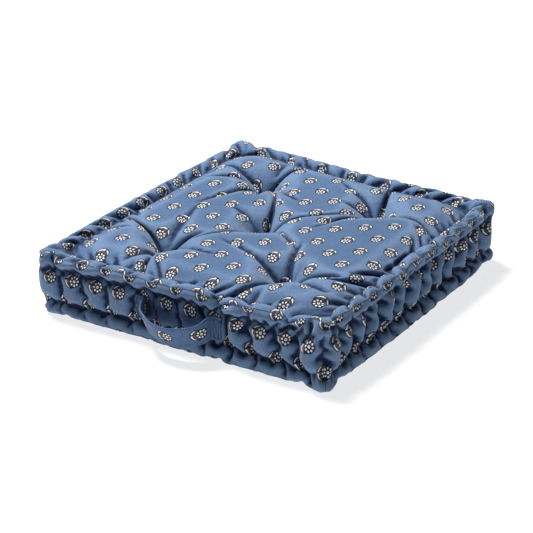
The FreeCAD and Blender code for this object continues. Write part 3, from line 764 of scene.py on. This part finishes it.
def thread_material(name, colour_value):
    material = bpy.data.materials.new(name)
    k = Nodes(material)
    place = k.place()
    inputs = {"Vector": place, "Scale": 500, "Distortion": 2.0}
    wave = k.add("ShaderNodeTexWave", inputs, wave_type="BANDS", bands_direction="DIAGONAL")
    twist = wave.outputs[1]
    paler = tuple(c * 1.8 for c in colour_value[:3]) + (1,)
    fibre = k.mix(k.math("MULTIPLY", k.noise(place, 300), 0.6), colour_value, paler)
    k.surface(fibre, k.math("MULTIPLY_ADD", twist, 0.2, 0.6), {"Normal": k.bump(twist, 0.6, 0.3 * MM)})
    return material


# ---- the cover as an object


def cavity(points, faces, rounds):
    """How far each point lies below the cloth around it: positive in hollows, negative on ridges."""
    cloth = Cloth(points, faces)
    normals = cloth.normals()
    edges = np.concatenate([faces[:, [k, (k + 1) % 4]] for k in range(4)])
    count = np.bincount(edges.ravel())
    level = points.copy()
    for _ in range(rounds):
        total = sum(add_up(edges[:, k], level[edges[:, 1 - k]], len(points)) for k in (0, 1))
        level = total / count[:, None]
    return ((level - points) * normals).sum(1)


def make_cover():
    cover = build_cover()
    points, stitches = settle_cover(cover)
    obj = new_mesh("cushion_cover", points, cover["faces"])
    layer = obj.data.uv_layers.new(name="cloth")
    layer.data.foreach_set("uv", cover["uv"].reshape(-1).astype(np.float32))
    # how far each point lies in a hollow or on a ridge, which the cloth material turns into painted shade in
    # the creases and painted highlight on the ridges
    creases = cavity(points, cover["faces"], 4) / (1.4 * MM)
    valleys = cavity(points, cover["faces"], 30) / (7.2 * MM)
    layer = obj.data.attributes.new("hollow", "FLOAT", "POINT")
    layer.data.foreach_set("value", np.clip(creases + valleys, -1, 1).astype(np.float32))
    subdivide(obj, uv_smooth="NONE")
    return obj, cover, points, stitches


cotton = cloth_material("printed_cotton")
thread = thread_material("sewing_thread", (0.05, 0.075, 0.15, 1))
twine = thread_material("tufting_twine", (0.055, 0.085, 0.165, 1))
cover_object, cover, settled, stitches = make_cover()
cover_object.data.materials.append(cotton)
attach(cover_object, ROOT)
strips = [f"boxing_{side}" for side in ("front", "right", "back", "left")]
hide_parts("top_panel", "bottom_panel", *strips)


# ---- filling, seams, stitches and ties


def limit_points(points, faces):
    """Where the subdivision puts each corner of the mesh: other pieces lie on this smoothed cloth."""
    count = np.bincount(faces.reshape(-1), minlength=len(points)).astype(float)[:, None]
    beside, across = (
        sum(add_up(faces[:, k], points[faces[:, (k + step) % 4]], len(points)) for k in range(4))
        for step in (1, 2)
    )
    return (count * count * points + 4 * beside + across) / (count * (count + 5))


skin = limit_points(settled, cover["faces"])
normals = Cloth(skin, cover["faces"]).normals()


FILLING_DEPTH = 2.4 * MM  # from the cloth to the loose fibre


def make_filling():
    """The loose fibre, a little inside the cloth all round."""
    material = bpy.data.materials.new("fibre_filling")
    k = Nodes(material)
    tufts = k.noise(k.place(), 120, 6, 0.7)
    fibre = k.mix(tufts, (0.74, 0.72, 0.66, 1), (0.92, 0.91, 0.87, 1))
    k.surface(fibre, k.math("MULTIPLY_ADD", tufts, 0.1, 0.88), {"Normal": k.bump(tufts, 0.9, 2 * MM)})
    # nearer to the cloth in a thin fold, so that it doesn't come out on the other side
    tree = BVHTree.FromPolygons([tuple(p) for p in skin], cover["faces"].tolist())
    depth = np.full(len(skin), FILLING_DEPTH)
    for number, (point, normal) in enumerate(zip(skin, normals)):
        thickness = tree.ray_cast(Vector(point - normal * 0.1 * MM), -Vector(normal), 2.5 * FILLING_DEPTH)[3]
        if thickness is not None:
            depth[number] = 0.4 * thickness
    obj = new_mesh("fibre_filling", skin - normals * depth[:, None], cover["faces"])
    shade_smooth(obj.data)
    obj.data.materials.append(material)
    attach(obj, ROOT)
    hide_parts("filling_core", "top_roll_rope", "bottom_roll_rope")


TWINE_R = 0.75 * MM


class Strands:
    """Collects round strands into one mesh."""

    def __init__(self):
        self.points, self.faces = [], []

    def add(self, path, radius, closed=False, around=6):
        path = [Vector(p) for p in path]
        count = len(path)
        radii = radius if hasattr(radius, "__len__") else [radius] * count
        base = len(self.points)
        side = None
        for k, p in enumerate(path):
            ahead = path[(k + 1) % count] if closed or k + 1 < count else p
            behind = path[k - 1] if closed or k else p
            along = (ahead - behind).normalized()
            if side is None:
                side = along.orthogonal().normalized()
            side = (side - along * side.dot(along)).normalized()
            other = along.cross(side)
            for a in range(around):
                turn = 2 * math.pi * a / around
                self.points.append(p + (side * math.cos(turn) + other * math.sin(turn)) * radii[k])
        for k in range(count if closed else count - 1):
            here, there = base + k * around, base + (k + 1) % count * around
            for a in range(around):
                b = (a + 1) % around
                self.faces.append((here + a, here + b, there + b, there + a))
        if not closed:
            self.faces.append(tuple(base + a for a in reversed(range(around))))
            self.faces.append(tuple(base + (count - 1) * around + a for a in range(around)))

    def stitch(self, a, b, normal, radius, bury=0.8 * MM):
        """One stitch lying on the cloth from a to b, with its ends in the cloth."""
        a, b, n = Vector(a), Vector(b), Vector(normal).normalized()
        rise = radius * 0.7
        self.add(
            [a - n * bury, a + n * rise * 0.3, a.lerp(b, 0.25) + n * rise, a.lerp(b, 0.75) + n * rise]
            + [b + n * rise * 0.3, b - n * bury],
            radius,
        )

    def seam_stitch(self, a, b, gap):
        """One stitch between two points of the cover, short of each by a share of the way."""
        pa, pb = skin[a] + normals[a] * 0.05 * MM, skin[b] + normals[b] * 0.05 * MM
        self.stitch(pa * (1 - gap) + pb * gap, pa * gap + pb * (1 - gap), normals[a], 0.33 * MM)

    def make(self, name, material, replaced):
        obj = new_mesh(name, self.points, self.faces)
        shade_smooth(obj.data)
        obj.data.materials.append(material)
        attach(obj, ROOT)
        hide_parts(replaced)


def make_seams():
    """The row of stitches that holds each panel to the boxing, and the strips to each other."""
    box, columns = cover["box"], 4 * CELLS
    for name, row in (("top_seam_thread", 0), ("bottom_seam_thread", ROWS)):
        strands = Strands()
        ring = box[:, row]
        for c in range(columns):
            strands.seam_stitch(ring[c], ring[(c + 1) % columns], 0.08)
        strands.make(f"{name}_sewn", thread, name)
    strands = Strands()
    for corner in range(4):
        line = box[corner * CELLS, 1:ROWS]
        for a, b in zip(line, line[1:]):
            strands.seam_stitch(a, b, 0.10)
    strands.make("corner_seams_sewn", thread, "corner_seam_threads")


def make_roll_stitches():
    """Twine stitches that gather each rolled edge, showing in the grooves on both of its sides."""
    box = cover["box"]
    for level, row in (("top", WALL_GROOVE), ("bottom", ROWS - WALL_GROOVE)):
        ids = cover[level]
        strands = Strands()
        for side, c, where in stitches:
            if where != level:
                continue
            inner = [panel_point(ids, side, c + step, PANEL_GROOVE) for step in (-1, 0, 1)]
            outer = [box[side * CELLS + c + step, row] for step in (-1, 0, 1)]
            for a, m, b in (inner, outer):
                n = normals[m]
                pa, pb = skin[a] + n * 0.5 * MM, skin[b] + n * 0.5 * MM
                if level == "bottom" and m == inner[1]:
                    pa[2], pb[2] = max(pa[2], 1 * MM), max(pb[2], 1 * MM)
                path = [pa - n * 1.5 * MM, pa, skin[m] + n * 0.9 * MM, pb, pb - n * 1.5 * MM]
                strands.add(path, TWINE_R, around=8)
        strands.make(f"{level}_roll_stitches", twine, f"{level}_roll_stitching")


def make_tuft_ties():
    """Each tie: a knotted turn of twine in both dimples, joined by twine through the filling."""
    for number, (name, (x, y)) in enumerate(zip(TUFT_NAMES, TUFTS)):
        strands = Strands()
        for sign, z in ((1, TOP_TUFT_Z), (-1, BOTTOM_TUFT_Z)):
            knot = []
            for k in range(60):
                t = 2 * math.pi * k / 60
                wide = (2.2 + 1.0 * math.cos(3 * t)) * MM
                rise = sign * (1.3 + 0.8 * math.sin(3 * t)) * MM
                turn = 2 * t + number
                knot.append((x + wide * math.cos(turn), y + wide * math.sin(turn), z + rise))
            strands.add(knot, TWINE_R, closed=True, around=8)
            for tail in (0.6, 3.4):
                path = []
                for r, h in [(2.0, 1.2), (4.5, 2.6), (7.0, 4.6), (8.8, 7.6)]:
                    turn = tail + number * 1.3 + r * 0.04
                    dx, dy, dz = r * math.cos(turn), r * math.sin(turn), sign * h
                    path.append((x + dx * MM, y + dy * MM, z + dz * MM))
                strands.add(path, [0.7 * MM, 0.7 * MM, 0.7 * MM, 0.95 * MM], around=8)
        levels = (BOTTOM_TUFT_Z, (BOTTOM_TUFT_Z + TOP_TUFT_Z) / 2, TOP_TUFT_Z)
        strands.add([(x, y, z) for z in levels], 1.0 * MM, around=8)
        strands.make(f"tuft_{name}_twine", twine, f"tuft_tie_{name}")


make_filling()
make_seams()
make_roll_stitches()
make_tuft_ties()


# ---- the strap handle

STRAP_WIDTH, STRAP_CLOTH = 38 * MM, 3.0 * MM
FOOT, BULGE, SIDE_ARC, TAB = 58 * MM, 38 * MM, 26 * MM, 17 * MM
HINGE_Y, HINGE_Z = -0.2453, 0.050
DROOP = math.radians(22)


def strap_line():
    """The right half of the strap's middle line in plan, from x = 0 out to the tab's end."""
    side_x = FOOT - SIDE_ARC
    big = (BULGE**2 + side_x**2 - SIDE_ARC**2) / (2 * (BULGE - SIDE_ARC))
    back = big - BULGE
    meet = math.atan2(side_x, back)
    line = [(big * math.sin(a), big * math.cos(a) - back) for a in np.linspace(0, meet, 26)]
    start = math.pi / 2 - meet
    corner = 3.4 * MM
    stop = math.asin(corner / SIDE_ARC)
    for a in np.linspace(start, stop, 16)[1:]:
        line.append((side_x + SIDE_ARC * math.cos(a), SIDE_ARC * math.sin(a)))
    # the tight bend into the tab, which lies on the wall
    flat = STRAP_CLOTH / 2 + 0.1 * MM
    x0, y0 = line[-1]
    for a in np.linspace(0, math.pi / 2, 7)[1:]:
        line.append((x0 + (corner - flat) * (1 - math.cos(a)) * 1.2, y0 - (y0 - flat) * math.sin(a)))
    x1 = line[-1][0]
    line += [(x1 + (FOOT + TAB - x1) * t, flat) for t in np.linspace(0, 1, 9)[1:]]
    return line


def strap_section():
    """The folded strap in section, (across, outward), with a shallow groove at each row of stitches."""
    half, thick = STRAP_WIDTH / 2, STRAP_CLOTH / 2
    edge = np.array([1, 0.9, 0.82, 0.76, 0.6, 0.3])
    rise = [0, 0.05, -0.35, 0.05, 0.2, 0.25]
    across = np.concatenate([-edge, [0], edge[::-1]]) * (half - thick)
    puff = np.array(rise + [0.28] + rise[::-1]) * MM
    outer = [(w, thick + p) for w, p in zip(across, puff)]
    turns = np.linspace(0, math.pi, 6)[1:-1]
    rim = [(half - thick + thick * math.sin(a), thick * math.cos(a)) for a in turns]
    inner = [(w, -thick - p) for w, p in zip(across[::-1], puff)]
    return outer + rim + inner + [(-w, -t) for w, t in rim]


def make_strap():
    line = strap_line()
    whole = [(-x, out) for x, out in reversed(line[1:])] + line
    section = strap_section()
    count = len(section)
    travelled = [0.0]
    for (x0, o0), (x1, o1) in zip(whole, whole[1:]):
        travelled.append(travelled[-1] + math.hypot(x1 - x0, o1 - o0))
    rings = []
    for k, (x, out) in enumerate(whole):
        ahead, behind = whole[min(k + 1, len(whole) - 1)], whole[max(k - 1, 0)]
        tx, to = ahead[0] - behind[0], ahead[1] - behind[1]
        length = math.hypot(tx, to)
        nx, no = -to / length, tx / length
        droop = DROOP * float(smooth(1.5 * MM, 20 * MM, out))
        ruck = 0.5 * MM * math.sin(travelled[k] * 210) * float(smooth(2 * MM, 12 * MM, out))
        ring = []
        for w, t in section:
            edge = (w / (STRAP_WIDTH / 2)) ** 2
            px, po = x + nx * t, out + no * t + ruck * edge * math.copysign(1, w)
            y, z = -po, w
            yr = y * math.cos(droop) - z * math.sin(droop)
            zr = y * math.sin(droop) + z * math.cos(droop)
            ring.append((px, HINGE_Y + yr, HINGE_Z + zr))
        rings.append(ring)
    material = cloth_material("strap_cotton", edge_rows=14.5 * MM)
    middle = len(line) - 1
    around = [0.0]
    for a, b in zip(section, section[1:] + section[:1]):
        around.append(around[-1] + math.hypot(b[0] - a[0], b[1] - a[1]))
    for name, first, last, node, start, end in (
        ("strap_left_half", 0, middle, "handle_end_left", -FOOT, -44 * MM),
        ("strap_right_half", middle, len(rings) - 1, "handle_end_right", FOOT, 44 * MM),
    ):
        points = [p for ring in rings[first : last + 1] for p in ring]
        faces, uvs = [], []
        for r in range(last - first):
            for a in range(count):
                b = (a + 1) % count
                faces.append((r * count + a, (r + 1) * count + a, (r + 1) * count + b, r * count + b))
                u0, u1 = (travelled[first + r + step] + PRINT_SHIFT for step in (0, 1))
                v0, v1 = (around[a + step] - STRAP_WIDTH / 2 for step in (0, 1))
                uvs.append([(u0, v0), (u1, v0), (u1, v1), (u0, v1)])
        # the cut end, in plain cloth between two repeats of the print
        if first == 0:
            faces.append(tuple(range(count)))
        else:
            faces.append(tuple(reversed(range((last - first) * count, (last - first + 1) * count))))
        uvs.append([(PITCH_U / 2, 0.0)] * count)
        obj = new_mesh(name, points, faces)
        layer = obj.data.uv_layers.new(name="cloth")
        layer.data.foreach_set("uv", [c for face in uvs for corner in face for c in corner])
        subdivide(obj, boundary_smooth="PRESERVE_CORNERS")
        obj.data.materials.append(material)
        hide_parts(node, "handle_strap")
        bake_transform(obj)


def make_strap_stitches():
    """A crossed box of stitches through each sewn end."""
    y = HINGE_Y - STRAP_CLOTH - 0.35 * MM
    near, far, reach = FOOT + 5.5 * MM, FOOT + TAB - 2.5 * MM, STRAP_WIDTH / 2 - 3.5 * MM
    for name, sign in (("left", -1), ("right", 1)):
        strands = Strands()
        corners = [(near, -reach), (far, -reach), (far, reach), (near, reach)]
        runs = list(zip(corners, corners[1:] + corners[:1]))
        runs += [(corners[0], corners[2]), (corners[1], corners[3])]
        for (ax, az), (bx, bz) in runs:
            length = math.hypot(bx - ax, bz - az)
            steps = max(2, round(length / (3.0 * MM)))
            for k in range(steps):
                t0, t1 = (k + 0.1) / steps, (k + 0.9) / steps
                a = (sign * (ax + (bx - ax) * t0), y, HINGE_Z + az + (bz - az) * t0)
                b = (sign * (ax + (bx - ax) * t1), y, HINGE_Z + az + (bz - az) * t1)
                strands.stitch(a, b, (0, -1, 0), 0.4 * MM)
        strands.make(f"strap_stitches_{name}", thread, f"handle_stitching_{name}")


make_strap()
make_strap_stitches()

# ---- light, floor and camera

HORIZON, ZENITH = 0.28, 3.3  # brightness of the studio's walls and ceiling
SKY_LEAN = (-0.30, -0.22, 0.928)  # where the sky is brightest
STUDIO = 0.0509  # the grey that this brightness multiplies


def add_floor():
    bpy.ops.mesh.primitive_plane_add(size=14, location=(0, 0, 0))
    floor = bpy.context.object
    floor.name = "floor"
    material = bpy.data.materials.new("floor_white")
    glow = {"Emission Color": (1, 1, 1, 1), "Emission Strength": 0.62}
    Nodes(material).surface((0.42, 0.42, 0.42, 1), 0.9, glow)
    floor.data.materials.append(material)


def add_key_light():
    light = bpy.data.lights.new("key", "AREA")
    light.size = 1.4
    light.energy = 250
    key = bpy.data.objects.new("key", light)
    bpy.context.scene.collection.objects.link(key)
    key.location = (-2.0, 0.7, 4.0)
    direction = Vector((0, 0, HALF / 5)) - key.location
    key.rotation_euler = direction.to_track_quat("-Z", "Y").to_euler()


def add_camera():
    """Looks down on the near corner; its distances are in sides of the cushion."""
    az, el, roll = (math.radians(a) for a in (34.68, 25.21, -1.84))
    side = 2 * HALF
    back = Vector((math.sin(az) * math.cos(el), -math.cos(az) * math.cos(el), math.sin(el)))
    right = Vector((math.cos(az), math.sin(az), 0))
    up = back.cross(right)
    target = Vector((0, 0, 0.206 * side / 2)) + (right * -0.024 + up * -0.038) * side
    right, up = right * math.cos(roll) + up * math.sin(roll), up * math.cos(roll) - right * math.sin(roll)
    camera = bpy.data.objects.new("camera", bpy.data.cameras.new("camera"))
    bpy.context.scene.collection.objects.link(camera)
    axes = Matrix((right, up, back)).transposed().to_4x4()
    camera.matrix_world = Matrix.Translation(target + back * 5.098 * side) @ axes
    camera.data.sensor_width = 36
    camera.data.lens = 1661.1 / 533 * camera.data.sensor_width  # a focal length in picture widths
    bpy.context.scene.camera = camera


def add_world():
    """Soft light, brightest overhead and a little to the front left."""
    world = bpy.data.worlds.new("studio")
    bpy.context.scene.world = world
    k = Nodes(world)
    place = k.add("ShaderNodeTexCoord", {}).outputs["Generated"]
    lean = k.add("ShaderNodeVectorMath", {0: place, 1: SKY_LEAN}, operation="DOT_PRODUCT")
    fall = k.add("ShaderNodeMapRange", {0: lean.outputs["Value"], 3: HORIZON, 4: ZENITH})
    # the studio beyond the floor is white wherever it is in view
    in_view = k.add("ShaderNodeLightPath", {}).outputs["Is Camera Ray"]
    strength = k.math("MULTIPLY_ADD", in_view, 1 / STUDIO, fall.outputs[0])
    background = k.add("ShaderNodeBackground", {0: (STUDIO, STUDIO, STUDIO, 1), 1: strength})
    k.add("ShaderNodeOutputWorld", {0: background.outputs[0]})


add_floor()
add_world()
add_key_light()
add_camera()
bpy.context.scene.view_settings.view_transform = "Standard"
bpy.context.scene.view_settings.look = "Medium High Contrast"
